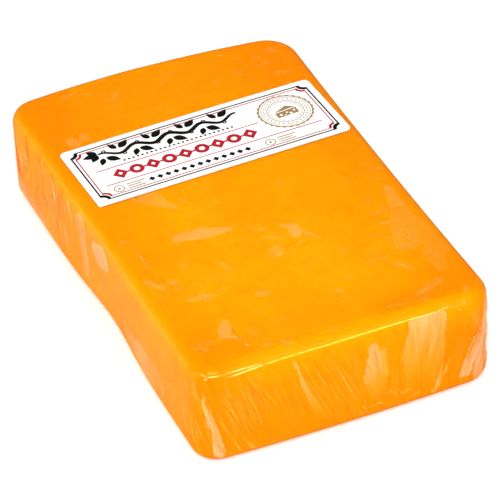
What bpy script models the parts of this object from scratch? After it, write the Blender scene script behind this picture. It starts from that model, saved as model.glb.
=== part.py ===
"""A block of cheddar sealed in clear shrink film, with a paper label on its top.

The block lies on its largest side. X runs along the short front side, Y along the length and Z up.
The origin is on the floor, in the middle of the block's outline seen from above. Metres.
"""

from math import copysign, exp, hypot, pi, radians, sin

import bmesh
import bpy
from mathutils import Matrix

# Overall size of the cut block before its sides bow: a third of a 14 x 11 x 7 inch cheese by its side
LENGTH = 0.178
WIDTH = 0.1102
HEIGHT = 0.0387

# Rounding: the four upright corners seen from above, then the rims round the top and the base
CORNER_RADIUS = {
    ("back", "left"): 0.0084,
    ("back", "right"): 0.0120,
    ("front", "left"): 0.0092,
    ("front", "right"): 0.0108,
}
TOP_RIM_RADIUS = 0.0059
BASE_RIM_RADIUS = 0.0046

# How the cheese was pushed out of square by the press, the knife and the tight film
BACK_BULGE = 0.0030
BACK_TURN = 0.0016
FRONT_BASE_BULGE = 0.0015
RIGHT_SIDE_HOLLOW = 0.0014
RIGHT_SIDE_TURN = 0.00065
LEFT_BASE_PINCH = 0.0023
LEFT_PINCH_MIDDLE = -0.05
LEFT_PINCH_SPREAD = 0.28
TOP_FALL_TO_BACK = 0.0005
CORNER_SAG = {
    ("back", "left"): 0.0014,
    ("back", "right"): 0.00075,
    ("front", "left"): 0.0001,
    ("front", "right"): 0.0008,
}

# Cells along each side of the block, narrower towards the rims, where the surface turns
CELLS = (28, 42, 12)
EDGE_CROWDING = 0.75

# Paper label, stuck on the film across the back half of the top
LABEL_LENGTH = 0.0982
LABEL_DEPTH = 0.0365
LABEL_THICKNESS = 0.00025
LABEL_CENTRE = (-0.0002, 0.0326)
LABEL_TURN = radians(2.0)
LABEL_CORNER_RADIUS = 0.0020
LABEL_SHARP_CORNER_RADIUS = 0.0004
LABEL_CORNER_SEGMENTS = 4
LABEL_CELLS = (20, 8)
TOUCHING_GAP = 0.0003

HALF = (WIDTH / 2, LENGTH / 2, HEIGHT / 2)
FLAT_TOLERANCE = 0.000001


def linear(hex_colour):
    """An sRGB hex colour as the linear RGBA that a shader takes."""
    channels = [int(hex_colour[i : i + 2], 16) / 255 for i in (0, 2, 4)]
    return [c / 12.92 if c <= 0.04045 else ((c + 0.055) / 1.055) ** 2.4 for c in channels] + [1.0]


def finish(name, hex_colour, roughness):
    """A plain finish with the colour and the gloss of the real surface."""
    material = bpy.data.materials.new(name)
    material.use_nodes = True
    shader = material.node_tree.nodes["Principled BSDF"]
    shader.inputs["Base Color"].default_value = linear(hex_colour)
    shader.inputs["Roughness"].default_value = roughness
    shader.inputs["Metallic"].default_value = 0.0
    return material


def nearest_corner(x, y):
    """The name of the corner that a point of the block is nearest."""
    return ("back" if y > 0 else "front", "right" if x > 0 else "left")


def arc_scale(along, across):
    """The scale that turns the outline of a square corner zone into a quarter circle."""
    if along <= 0 or across <= 0:
        return 1.0
    return max(along, across) / hypot(along, across)


def rounded(x, y, z):
    """A point of the square box, moved so that corners and rims are round."""
    half_x, half_y, half_z = HALF
    radius = CORNER_RADIUS[nearest_corner(x, y)]
    past_x = abs(x) - (half_x - radius)
    past_y = abs(y) - (half_y - radius)
    if past_x > 0 and past_y > 0:
        reach = hypot(past_x, past_y)
        outward = (copysign(past_x / reach, x), copysign(past_y / reach, y))
        inset = radius - max(past_x, past_y)
        scale = arc_scale(past_x, past_y)
        x = copysign(half_x - radius + past_x * scale, x)
        y = copysign(half_y - radius + past_y * scale, y)
    elif half_x - abs(x) < half_y - abs(y):
        outward = (copysign(1.0, x), 0.0)
        inset = half_x - abs(x)
    else:
        outward = (0.0, copysign(1.0, y))
        inset = half_y - abs(y)

    rim = TOP_RIM_RADIUS if z > 0 else BASE_RIM_RADIUS
    past_side = rim - inset
    past_level = abs(z) - (half_z - rim)
    scale = arc_scale(past_side, past_level)
    if scale < 1.0:
        pulled_in = past_side * (scale - 1.0)
        x += outward[0] * pulled_in
        y += outward[1] * pulled_in
        z = copysign(half_z - rim + past_level * scale, z)
    return x, y, z


def top_settling(across, along):
    """How much higher or lower the top lies there, from -1 to 1 across the width and the length."""
    corner = nearest_corner(across, along)
    return -TOP_FALL_TO_BACK * along - CORNER_SAG[corner] * (across * along) ** 2


def uneven(x, y, z):
    """A point of the rounded box, moved as the real block leaves the square, with its base at 0."""
    across = x / HALF[0]
    along = y / HALF[1]
    level = (z + HALF[2]) / HEIGHT
    to_left, to_right = max(-across, 0.0), max(across, 0.0)
    to_front, to_back = max(-along, 0.0), max(along, 0.0)

    pinch = exp(-(((along - LEFT_PINCH_MIDDLE) / LEFT_PINCH_SPREAD) ** 2)) * (1 - level)
    x += to_left * LEFT_BASE_PINCH * pinch
    x += to_right * (RIGHT_SIDE_TURN * along - RIGHT_SIDE_HOLLOW * (1 - along**2))
    y -= to_front * FRONT_BASE_BULGE * (1 - level) * (1 - across**2)
    y += to_back * (BACK_BULGE * (1 - across**2) - BACK_TURN * across)
    z += HALF[2] + level * top_settling(across, along)
    return x, y, z


def crowded(count, half):
    """Places of the cuts across a side, closer together near its two ends."""
    ends = sin(EDGE_CROWDING * pi / 2)
    steps = [2 * i / count - 1 for i in range(1, count)]
    return [half * sin(step * EDGE_CROWDING * pi / 2) / ends for step in steps]


def cut_across(mesh, axis, places):
    """Cut every face of a mesh along planes square to one axis."""
    normal = [0.0, 0.0, 0.0]
    normal[axis] = 1.0
    for place in places:
        point = [0.0, 0.0, 0.0]
        point[axis] = place
        geometry = mesh.verts[:] + mesh.edges[:] + mesh.faces[:]
        bmesh.ops.bisect_plane(mesh, geom=geometry, plane_co=point, plane_no=normal)


def primitive_box(name, size):
    """A cube primitive at the origin, brought to its size in its mesh."""
    bpy.ops.mesh.primitive_cube_add(size=1.0)
    box = bpy.context.object
    box.name = name
    box.data.name = name
    box.data.transform(Matrix.Diagonal((*size, 1.0)))
    return box


def wrapped_block():
    """The sealed pack, solid out to its film, with a flat base."""
    block = primitive_box("wrapped_block", (WIDTH, LENGTH, HEIGHT))
    mesh = bmesh.new()
    mesh.from_mesh(block.data)
    for axis, count in enumerate(CELLS):
        cut_across(mesh, axis, crowded(count, HALF[axis]))
    for vert in mesh.verts:
        vert.co = uneven(*rounded(*vert.co))

    lying = [f for f in mesh.faces if all(abs(v.co.z) < FLAT_TOLERANCE for v in f.verts)]
    bmesh.ops.dissolve_faces(mesh, faces=lying, use_verts=True)
    mesh.to_mesh(block.data)
    mesh.free()
    block.data.shade_smooth()
    block.data.materials.append(finish("film_over_cheddar", "FBA104", 0.18))
    return block


def label():
    """The paper label, a thin sheet that follows the top of the block."""
    sheet = primitive_box("label", (LABEL_LENGTH, LABEL_DEPTH, LABEL_THICKNESS))
    mesh = bmesh.new()
    mesh.from_mesh(sheet.data)
    upright = [e for e in mesh.edges if abs(e.verts[0].co.z - e.verts[1].co.z) > LABEL_THICKNESS / 2]
    for edge in upright:
        x, y, _ = edge.verts[0].co
        sharp = nearest_corner(x, y) == ("front", "left")
        bmesh.ops.bevel(
            mesh,
            geom=[edge],
            offset=LABEL_SHARP_CORNER_RADIUS if sharp else LABEL_CORNER_RADIUS,
            offset_type="OFFSET",
            segments=LABEL_CORNER_SEGMENTS,
            profile=0.5,
            affect="EDGES",
            material=-1,
        )
    for axis, (count, size) in enumerate(zip(LABEL_CELLS, (LABEL_LENGTH, LABEL_DEPTH))):
        cut_across(mesh, axis, [size * (i / count - 0.5) for i in range(1, count)])

    turn = Matrix.Rotation(LABEL_TURN, 3, "Z")
    for vert in mesh.verts:
        above_underside = vert.co.z + LABEL_THICKNESS / 2
        place = turn @ vert.co
        place.x += LABEL_CENTRE[0]
        place.y += LABEL_CENTRE[1]
        settled = top_settling(place.x / HALF[0], place.y / HALF[1])
        place.z = HEIGHT + settled + TOUCHING_GAP + above_underside
        vert.co = place
    mesh.to_mesh(sheet.data)
    mesh.free()
    sheet.data.materials.append(finish("label_paper", "FDFDFB", 0.45))
    return sheet


def centre_outline(block, others):
    """Move every piece so that the block's outline from above is centred on the origin."""
    middle = [0.0, 0.0, 0.0]
    for axis in (0, 1):
        places = [vert.co[axis] for vert in block.data.vertices]
        middle[axis] = (min(places) + max(places)) / 2
    for piece in [block, *others]:
        piece.data.transform(Matrix.Translation([-m for m in middle]))


def build():
    for old in list(bpy.data.objects):
        bpy.data.objects.remove(old, do_unlink=True)
    pieces = [wrapped_block(), label()]
    centre_outline(pieces[0], pieces[1:])
    pack = bpy.data.collections.new("cheddar_block")
    bpy.context.scene.collection.children.link(pack)
    for piece in pieces:
        for holder in list(piece.users_collection):
            holder.objects.unlink(piece)
        pack.objects.link(piece)


build()
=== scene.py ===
# %% [markdown]
# # A block of cheddar in clear shrink film
# The real thing is a slab of orange cheddar, about 110 by 180 by 39 mm, vacuum packed in clear
# shrink film, with a paper label stuck across the back of its top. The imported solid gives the
# overall form. Over it this lesson makes the cheese, the film with its air pockets and creases,
# and the print on the label. Everything is in metres, X to the right, Y to the back, Z up.

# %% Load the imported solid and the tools
import random
from math import copysign, cos, hypot, pi, radians, sin, tan

import bmesh
import bpy
import numpy as np
from mathutils import Matrix, Vector, noise
from mathutils.bvhtree import BVHTree


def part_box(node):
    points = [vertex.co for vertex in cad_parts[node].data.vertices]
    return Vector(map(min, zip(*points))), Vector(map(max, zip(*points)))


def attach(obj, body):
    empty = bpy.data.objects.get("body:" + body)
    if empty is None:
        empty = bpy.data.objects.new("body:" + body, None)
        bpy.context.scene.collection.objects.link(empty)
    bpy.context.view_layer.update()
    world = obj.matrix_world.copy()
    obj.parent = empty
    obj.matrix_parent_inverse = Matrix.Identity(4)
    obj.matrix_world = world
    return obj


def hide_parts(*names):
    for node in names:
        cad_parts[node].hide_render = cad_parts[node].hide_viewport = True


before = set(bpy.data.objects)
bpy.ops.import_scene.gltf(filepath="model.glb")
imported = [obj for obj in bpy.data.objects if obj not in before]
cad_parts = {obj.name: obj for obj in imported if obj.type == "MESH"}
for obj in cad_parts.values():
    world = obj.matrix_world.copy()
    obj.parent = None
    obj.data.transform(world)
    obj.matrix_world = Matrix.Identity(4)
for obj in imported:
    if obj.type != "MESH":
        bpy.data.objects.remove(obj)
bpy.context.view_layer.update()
MM = 0.001

# %% [markdown]
# ## Two small helpers
# Colours are chosen as sRGB hex values, the way a colour picker shows them, and a shader wants
# linear ones. Materials are node trees, so one helper adds a node with its settings and links.

# %% Colour and node helpers
def linear(hex_colour, alpha=1.0):
    """An sRGB hex colour as linear RGBA."""
    channels = [int(hex_colour[i : i + 2], 16) / 255 for i in (0, 2, 4)]
    return [c / 12.92 if c <= 0.04045 else ((c + 0.055) / 1.055) ** 2.4 for c in channels] + [alpha]


def add_node(tree, kind, inputs=None, **settings):
    """Add a node. An input's value is another node's output to link, or a constant."""
    node = tree.nodes.new("ShaderNode" + kind)
    for name, value in settings.items():
        setattr(node, name, value)
    for key, value in (inputs or {}).items():
        if isinstance(value, bpy.types.NodeSocket):
            tree.links.new(value, node.inputs[key])
        else:
            node.inputs[key].default_value = value
    return node


def new_material(name):
    """An empty material: its node tree and its output node."""
    material = bpy.data.materials.new(name)
    material.use_nodes = True
    material.node_tree.nodes.clear()
    return material, material.node_tree, add_node(material.node_tree, "OutputMaterial")


# %% [markdown]
# ## The camera
# A long lens from the front left, a little above, tilted by a degree or two. The angle, the
# distance and the lens were solved from the block's outline and the label's corners.

# %% Camera
AIM = Vector((0.0004, -0.0040, 0.0145))
AZIMUTH = radians(-21.98)
ELEVATION = radians(37.10)
DISTANCE = 1.186
LENS = 242.64
ROLL = radians(-2.69)
back = Vector((sin(AZIMUTH) * cos(ELEVATION), -cos(AZIMUTH) * cos(ELEVATION), sin(ELEVATION)))
camera_data = bpy.data.cameras.new("camera")
camera_data.lens = LENS
camera_data.sensor_width = 36.0
camera_data.clip_start = 0.05
camera = bpy.data.objects.new("camera", camera_data)
level = back.to_track_quat("Z", "Y").to_matrix().to_4x4()
camera.matrix_world = Matrix.Translation(AIM + DISTANCE * back) @ level @ Matrix.Rotation(ROLL, 4, "Z")
bpy.context.scene.collection.objects.link(camera)
bpy.context.scene.camera = camera
bpy.context.scene.view_settings.view_transform = "Standard"
print("camera at", tuple(round(v, 3) for v in camera.location))

# %% [markdown]
# ## The studio
# A pack shot on white: a light table of opal acrylic without a horizon, an even white surround, one
# large soft box above the front, and a narrow strip that draws the bright line along the front rim.
# Mirror-like rays see a dim room, so that the film shows the lamps and not a grey veil.

# %% Floor
FLOOR_HALF = 1.5
floor_mesh = bpy.data.meshes.new("studio_floor")
bm = bmesh.new()
bmesh.ops.create_grid(bm, x_segments=1, y_segments=1, size=FLOOR_HALF)
bm.to_mesh(floor_mesh)
bm.free()
floor = bpy.data.objects.new("studio_floor", floor_mesh)
bpy.context.scene.collection.objects.link(floor)

FLOOR_GLOW = 0.3
IN_REFLECTIONS = 0.06
LEFT_IN_REFLECTIONS = 0.21
RIGHT_IN_REFLECTIONS = 0.6
material, tree, output = new_material("opal_acrylic_light_table")
opal = add_node(tree, "BsdfDiffuse", {"Color": linear("E2E2E1")})
lit = add_node(tree, "Emission", {"Color": linear("FFFEFD"), "Strength": FLOOR_GLOW})
table = add_node(tree, "AddShader", {0: opal.outputs[0], 1: lit.outputs[0]})
place = add_node(tree, "SeparateXYZ", {0: add_node(tree, "TexCoord").outputs["Object"]})
across, away = place.outputs["X"], place.outputs["Y"]
leftward = add_node(tree, "MapRange", {0: across, 1: -0.05, 2: 0.03, 3: LEFT_IN_REFLECTIONS, 4: IN_REFLECTIONS})
rightward = add_node(tree, "MapRange", {0: across, 1: 0.056, 2: 0.075, 3: 0.0, 4: RIGHT_IN_REFLECTIONS})
beside = add_node(tree, "MapRange", {0: away, 1: -0.08, 2: -0.045, 3: 0.3, 4: 1.0})
leftward = add_node(tree, "Math", {0: leftward.outputs[0], 1: beside.outputs[0]}, operation="MULTIPLY")
behind = add_node(tree, "MapRange", {0: away, 1: -0.052, 2: -0.042, 3: 1.0, 4: 0.0})
before = add_node(tree, "MapRange", {0: away, 1: -0.095, 2: -0.08, 3: 0.0, 4: 1.0})
corner = add_node(tree, "Math", {0: behind.outputs[0], 1: before.outputs[0]}, operation="MULTIPLY")
mirrored = add_node(
    tree, "Math", {0: corner.outputs[0], 1: rightward.outputs[0], 2: leftward.outputs[0]}, operation="MULTIPLY_ADD"
)
dark = add_node(tree, "Emission", {"Color": linear("FFFFFF"), "Strength": mirrored.outputs[0]})
ray = add_node(tree, "LightPath")
seen = add_node(tree, "MixShader", {0: ray.outputs["Is Glossy Ray"], 1: table.outputs[0], 2: dark.outputs[0]})
tree.links.new(seen.outputs[0], output.inputs["Surface"])
floor_mesh.materials.append(material)

# %% Surround and lamps
SURROUND = 0.98
world = bpy.data.worlds.new("white_surround")
bpy.context.scene.world = world
world.use_nodes = True
tree = world.node_tree
tree.nodes.clear()
ray = add_node(tree, "LightPath")
bright = add_node(tree, "Background", {"Color": linear("FFFFFF"), "Strength": SURROUND})
dim = add_node(tree, "Background", {"Color": linear("FFFFFF"), "Strength": IN_REFLECTIONS})
both = add_node(tree, "MixShader", {0: ray.outputs["Is Glossy Ray"], 1: bright.outputs[0], 2: dim.outputs[0]})
surround = add_node(tree, "OutputWorld", {"Surface": both.outputs[0]})


def soft_box(name, place, target, size, watts, colour="FFFFFF", reflections_only=False):
    """A rectangular lamp that faces a target and that the camera doesn't see."""
    light = bpy.data.lights.new(name, "AREA")
    light.shape = "RECTANGLE"
    light.size, light.size_y = size
    light.energy = watts
    light.color = linear(colour)[:3]
    lamp = bpy.data.objects.new(name, light)
    lamp.location = place
    lamp.rotation_euler = (Vector(target) - Vector(place)).to_track_quat("-Z", "Y").to_euler()
    lamp.visible_camera = False
    lamp.visible_diffuse = not reflections_only
    bpy.context.scene.collection.objects.link(lamp)
    return lamp


soft_box("front_key", (-0.18, -0.47, 0.60), (0.0, -0.02, 0.02), (0.45, 0.35), 3.1)
soft_box("left_fill", (-0.85, 0.0, 0.22), (0.0, 0.0, 0.02), (0.5, 0.5), 1.7)

# %% [markdown]
# ## The bright lines on the rims
# The film is a mirror on the rims, so each bright line is a lamp seen in a long round bar. A lamp
# that has to show at a spot stands where the view, mirrored at that spot, goes. Two spots, the ends
# of a line, give a strip lamp its ends. These lamps show in the gloss and don't light the cheese.

# %% Strip lamps placed by the law of reflection
STRIP_DISTANCE = 0.5


def mirrored_view(spot, normal, distance=STRIP_DISTANCE):
    """The place that the camera sees in a mirror at a spot."""
    view = (Vector(spot) - camera.location).normalized()
    normal = Vector(normal).normalized()
    return Vector(spot) + distance * (view - 2 * view.dot(normal) * normal)


def strip_lamp(name, first, last, thickness, watts, colour="FFFFFF"):
    """A strip lamp whose reflection runs between two spots, each given with its normal."""
    start, end = mirrored_view(*first), mirrored_view(*last)
    middle = (start + end) / 2
    target = (Vector(first[0]) + Vector(last[0])) / 2
    lamp = soft_box(name, middle, target, ((end - start).length, thickness), watts, colour, reflections_only=True)
    facing = (middle - target).normalized()
    along = (end - start).normalized()
    upward = facing.cross(along).normalized()
    turn = Matrix((facing.cross(upward) * -1, upward, facing)).transposed()
    lamp.rotation_euler = turn.to_euler()
    return lamp


def front_rim_normal(degrees):
    return (0.0, -cos(radians(degrees)), sin(radians(degrees)))


strip_lamp("rim_strip", ((-0.0330, -0.0905, 0.0365), front_rim_normal(30.5)),
           ((0.0370, -0.0895, 0.0365), front_rim_normal(32.5)), 0.040, 0.65)
strip_lamp("left_rim_strip", ((-0.0545, -0.070, 0.0375), (-0.82, 0, 0.57)),
           ((-0.0535, 0.075, 0.0375), (-0.82, 0, 0.57)), 0.07, 0.05)
glow_spot = ((-0.0040, -0.0905, 0.0365), front_rim_normal(41))
soft_box("rim_glow", mirrored_view(*glow_spot, 0.6), glow_spot[0], (0.42, 0.20), 0.27, reflections_only=True)

# %% [markdown]
# ## The form of the block
# Film and cheese share one form: a box with round corners and rims that the press, the knife and
# the tight film pushed out of square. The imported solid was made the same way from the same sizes,
# in coarse cells. Here the rule runs on whole arrays of points, because the skin has many more.

# %% Sizes of the block
LENGTH = 0.178
WIDTH = 0.1102
HEIGHT = 0.0387
HALF = np.array((WIDTH, LENGTH, HEIGHT)) / 2
BACK_LEFT_RADIUS, BACK_RIGHT_RADIUS = 0.0084, 0.0120
FRONT_LEFT_RADIUS, FRONT_RIGHT_RADIUS = 0.0092, 0.0108
TOP_RIM_RADIUS, BASE_RIM_RADIUS = 0.0059, 0.0046
BACK_BULGE, BACK_TURN = 0.0030, 0.0016
FRONT_BASE_BULGE = 0.0015
RIGHT_SIDE_HOLLOW, RIGHT_SIDE_TURN = 0.0014, 0.00065
LEFT_BASE_PINCH, LEFT_PINCH_MIDDLE, LEFT_PINCH_SPREAD = 0.0023, -0.05, 0.28
TOP_FALL_TO_BACK = 0.0005
BACK_LEFT_SAG, BACK_RIGHT_SAG = 0.0014, 0.00075
FRONT_LEFT_SAG, FRONT_RIGHT_SAG = 0.0001, 0.0008


def by_corner(x, y, back_left, back_right, front_left, front_right):
    """The value of the corner that each point is nearest."""
    return np.where(
        y > 0,
        np.where(x > 0, back_right, back_left),
        np.where(x > 0, front_right, front_left),
    )


def rounded(points):
    """Points of the square box, moved so that corners and rims are round."""
    x, y, z = points.T
    side_x, side_y = np.sign(x), np.sign(y)
    radius = by_corner(x, y, BACK_LEFT_RADIUS, BACK_RIGHT_RADIUS, FRONT_LEFT_RADIUS, FRONT_RIGHT_RADIUS)
    past_x = np.abs(x) - (HALF[0] - radius)
    past_y = np.abs(y) - (HALF[1] - radius)
    in_corner = (past_x > 0) & (past_y > 0)
    reach = np.where(in_corner, np.hypot(past_x, past_y), 1.0)
    scale = np.where(in_corner, np.maximum(past_x, past_y) / reach, 1.0)
    from_x, from_y = HALF[0] - np.abs(x), HALF[1] - np.abs(y)
    nearer_x = from_x < from_y
    out_x = side_x * np.where(in_corner, past_x / reach, nearer_x)
    out_y = side_y * np.where(in_corner, past_y / reach, ~nearer_x)
    inset = np.where(in_corner, radius - np.maximum(past_x, past_y), np.minimum(from_x, from_y))
    x = np.where(in_corner, side_x * (HALF[0] - radius + past_x * scale), x)
    y = np.where(in_corner, side_y * (HALF[1] - radius + past_y * scale), y)

    rim = np.where(z > 0, TOP_RIM_RADIUS, BASE_RIM_RADIUS)
    past_side = rim - inset
    past_level = np.abs(z) - (HALF[2] - rim)
    on_rim = (past_side > 0) & (past_level > 0)
    reach = np.where(on_rim, np.hypot(past_side, past_level), 1.0)
    scale = np.where(on_rim, np.maximum(past_side, past_level) / reach, 1.0)
    pulled_in = past_side * (scale - 1.0)
    z = np.where(on_rim, np.sign(z) * (HALF[2] - rim + past_level * scale), z)
    return np.stack([x + out_x * pulled_in, y + out_y * pulled_in, z], axis=1)


def uneven(points):
    """Points of the rounded box, moved as the real block leaves the square, with its base at 0."""
    x, y, z = points.T
    across, along = x / HALF[0], y / HALF[1]
    level = (z + HALF[2]) / HEIGHT
    to_left, to_right = np.maximum(-across, 0), np.maximum(across, 0)
    to_front, to_back = np.maximum(-along, 0), np.maximum(along, 0)
    pinch = np.exp(-(((along - LEFT_PINCH_MIDDLE) / LEFT_PINCH_SPREAD) ** 2)) * (1 - level)
    sag = by_corner(across, along, BACK_LEFT_SAG, BACK_RIGHT_SAG, FRONT_LEFT_SAG, FRONT_RIGHT_SAG)
    x = x + to_left * LEFT_BASE_PINCH * pinch
    x = x + to_right * (RIGHT_SIDE_TURN * along - RIGHT_SIDE_HOLLOW * (1 - along**2))
    y = y - to_front * FRONT_BASE_BULGE * (1 - level) * (1 - across**2)
    y = y + to_back * (BACK_BULGE * (1 - across**2) - BACK_TURN * across)
    z = z + HALF[2] - level * (TOP_FALL_TO_BACK * along + sag * (across * along) ** 2)
    return np.stack([x, y, z], axis=1)


# %% [markdown]
# ## A fine grid in the shape of a box
# The skin needs even square cells of under a millimetre, finer round the rims. A cube is cut once
# inside each rim, then each family of parallel edges is subdivided by its own count. The middle of
# the base lies flat and unseen, so it stays one face and saves its cells for what shows.

# %% Box grid
RIM_ZONE = (0.0125, 0.0125, 0.0070)


def box_grid(middle_cell, rim_cell):
    """A closed box of small cells, with one face for the middle of its base."""
    bm = bmesh.new()
    bmesh.ops.create_cube(bm, size=1.0)
    bmesh.ops.scale(bm, vec=(WIDTH, LENGTH, HEIGHT), verts=bm.verts)
    for axis in range(3):
        normal = [float(axis == i) for i in range(3)]
        for side in (-1, 1):
            place = [side * (HALF[axis] - RIM_ZONE[axis]) * n for n in normal]
            geometry = bm.verts[:] + bm.edges[:] + bm.faces[:]
            bmesh.ops.bisect_plane(bm, geom=geometry, plane_co=place, plane_no=normal)
    base_middle = min(bm.faces, key=lambda f: (f.calc_center_median() + Vector((0, 0, HALF[2]))).length)
    bmesh.ops.delete(bm, geom=[base_middle], context="FACES_ONLY")
    for axis in range(3):
        spans = {}
        for edge in bm.edges:
            low, high = sorted(v.co[axis] for v in edge.verts)
            if high - low > MM:
                spans.setdefault((round(low, 5), round(high, 5)), []).append(edge)
        for (low, high), edges in spans.items():
            in_rim = high - low < 2 * RIM_ZONE[axis]
            cuts = round((high - low) / (rim_cell if in_rim else middle_cell)) - 1
            bmesh.ops.subdivide_edges(bm, edges=edges, cuts=cuts, use_grid_fill=True)
    open_edges = [e for e in bm.edges if e.is_boundary]
    bmesh.ops.contextual_create(bm, geom=open_edges)
    return bm


def vertex_array(mesh, what="co", width=3):
    """One value per vertex of a mesh as an array."""
    values = np.empty(len(mesh.vertices) * width)
    mesh.vertices.foreach_get(what, values)
    return values.reshape(-1, width)


def set_vertices(mesh, points):
    mesh.vertices.foreach_set("co", np.asarray(points, dtype=float).ravel())
    mesh.update()


def outward(mesh):
    """The outward normal at each vertex."""
    values = np.empty(len(mesh.vertices) * 3)
    mesh.vertex_normals.foreach_get("vector", values)
    return values.reshape(-1, 3)


def block_skin(name, middle_cell, rim_cell):
    """A mesh of the block's form in fine cells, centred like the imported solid."""
    bm = box_grid(middle_cell, rim_cell)
    mesh = bpy.data.meshes.new(name)
    bm.to_mesh(mesh)
    bm.free()
    points = uneven(rounded(vertex_array(mesh)))
    middle = (points.min(axis=0) + points.max(axis=0)) / 2
    set_vertices(mesh, points - [middle[0], middle[1], 0.0])
    mesh.shade_smooth()
    return mesh


def add_piece(name, mesh, material):
    """A finished piece that rides on the only body."""
    piece = bpy.data.objects.new(name, mesh)
    bpy.context.scene.collection.objects.link(piece)
    mesh.materials.clear()
    mesh.materials.append(material)
    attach(piece, "root")
    return piece


# %% [markdown]
# ## Which way the film was pulled
# On the sides the film creases run down from the top rim, straight in the middle of a side and
# slanting where a corner gathered the spare film. To make patterns run that way, each point gets a
# place on a flow map: its distance round the outline, shifted by the slant, and its height, both
# turned back into a point in space so that the map has no seam.

# %% Distance round the outline
MEAN_CORNER = 0.0101
CORNER_X, CORNER_Y = HALF[0] - MEAN_CORNER, HALF[1] - MEAN_CORNER
ARC = MEAN_CORNER * pi / 2
HALF_ROUND = 2 * (CORNER_X + ARC + CORNER_Y)
ARC_STEPS = 16


def around(x, y):
    """Distance along the outline from the middle of the front, positive to the right."""
    near_x, near_y = np.abs(x), np.abs(y)
    past_x, past_y = near_x - CORNER_X, near_y - CORNER_Y
    turned = np.arctan2(np.maximum(past_x, 1e-9), np.maximum(past_y, 1e-9))
    on_side = (past_y <= 0) & (past_x > past_y)
    run = np.where(past_x <= 0, near_x, CORNER_X + MEAN_CORNER * turned)
    run = np.where(on_side, CORNER_X + ARC + CORNER_Y - near_y, run)
    run = np.where(y < 0, run, HALF_ROUND - run)
    return np.where(x < 0, -run, run)


def outline_points():
    """The block's outline from above, from the middle of the front and back to it."""
    points = [(0.0, -HALF[1])]
    for quarter, (side_x, side_y) in enumerate(((1, -1), (1, 1), (-1, 1), (-1, -1))):
        for step in range(ARC_STEPS + 1):
            angle = pi / 2 * (quarter - 1 + step / ARC_STEPS)
            points.append((side_x * CORNER_X + MEAN_CORNER * cos(angle), side_y * CORNER_Y + MEAN_CORNER * sin(angle)))
    points.append((0.0, -HALF[1]))
    return np.array(points)


OUTLINE = outline_points()
OUTLINE_RUN = np.concatenate([[0.0], np.cumsum(np.linalg.norm(np.diff(OUTLINE, axis=0), axis=1))])


def outline_place(run):
    """The point of the outline at a distance along it."""
    run = np.mod(run, OUTLINE_RUN[-1])
    return np.stack([np.interp(run, OUTLINE_RUN, OUTLINE[:, i]) for i in (0, 1)], axis=-1)


# How far a crease moves along the side for each millimetre down, at places round the outline in mm
SLANT = {
    -280: 0.0, -236: -0.3, -218: 0.25, -190: 0.08, -110: 0.1, -80: 0.25, -50: 0.32, -30: 0.42, 0: 0.4,
    12: 0.2, 22: 0.0, 32: -0.25, 44: -0.5, 56: -0.42, 72: -0.1, 110: 0.0, 190: 0.0, 218: 0.3, 236: -0.3, 280: 0.0,
}
FLOW_STRETCH = 0.07


def crease_origin(points):
    """Where on the outline the crease through each point starts at the top."""
    run = around(points[:, 0], points[:, 1])
    slant = np.interp(run / MM, list(SLANT), list(SLANT.values()))
    return run - slant * (HEIGHT - points[:, 2])


def add_vector_field(mesh, name, values):
    field = mesh.attributes.new(name, "FLOAT_VECTOR", "POINT")
    field.data.foreach_set("vector", np.asarray(values, dtype=float).ravel())


def add_field(mesh, name, values):
    field = mesh.attributes.new(name, "FLOAT", "POINT")
    field.data.foreach_set("value", np.asarray(values, dtype=float))


def smooth(values, low, high):
    """A smooth step from 0 at low to 1 at high."""
    share = np.clip((values - low) / (high - low), 0, 1)
    return share * share * (3 - 2 * share)


def add_flow(mesh):
    """Store the flow map on a mesh of the block's form."""
    points = vertex_array(mesh)
    place = outline_place(crease_origin(points))
    add_vector_field(mesh, "flow", np.column_stack([place, FLOW_STRETCH * points[:, 2]]))


# The film pinched the front right corner: height in mm, and how far the outline stands out there
CORNER_LUMPS = {3.0: 0.0, 7.0: 0.18, 11.0: -0.28, 19.5: 0.22, 23.7: -0.14, 27.3: 0.26, 33.0: 0.0}


def corner_lumps(points):
    """How far, in mm, each point of the front right corner stands out or in."""
    run, level = around(points[:, 0], points[:, 1]) / MM, points[:, 2] / MM
    window = smooth(run, 42, 52) * smooth(run, 84, 70)
    return window * np.interp(level, list(CORNER_LUMPS), list(CORNER_LUMPS.values()))


print("outline is", round(OUTLINE_RUN[-1] / MM), "mm round")

# %% [markdown]
# ## The cheese
# Cheddar is a dense milled curd, pressed into a block, so its cut faces are smooth, with faint
# cloudy marks where the curds met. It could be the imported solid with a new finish, but its coarse
# cells would show as facets under the gloss. A finer skin of the same form, set a hair inside the
# film, gives smooth rims that light can glow through.

# %% Cheese body
FILM_GAP = 0.08 * MM
CHEESE_WAVE = 0.12 * MM
CHEESE_WAVE_LENGTH = 14 * MM
cheese_mesh = block_skin("cheddar", 2.0 * MM, 1.1 * MM)
points, normals = vertex_array(cheese_mesh), outward(cheese_mesh)
wave = np.array([noise.noise(Vector(p / CHEESE_WAVE_LENGTH)) for p in points])
depth = FILM_GAP + CHEESE_WAVE * (0.5 + 0.5 * wave) - corner_lumps(points) * MM
set_vertices(cheese_mesh, points - normals * depth[:, None])
print("cheese triangles:", sum(len(p.vertices) - 2 for p in cheese_mesh.polygons))

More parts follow.
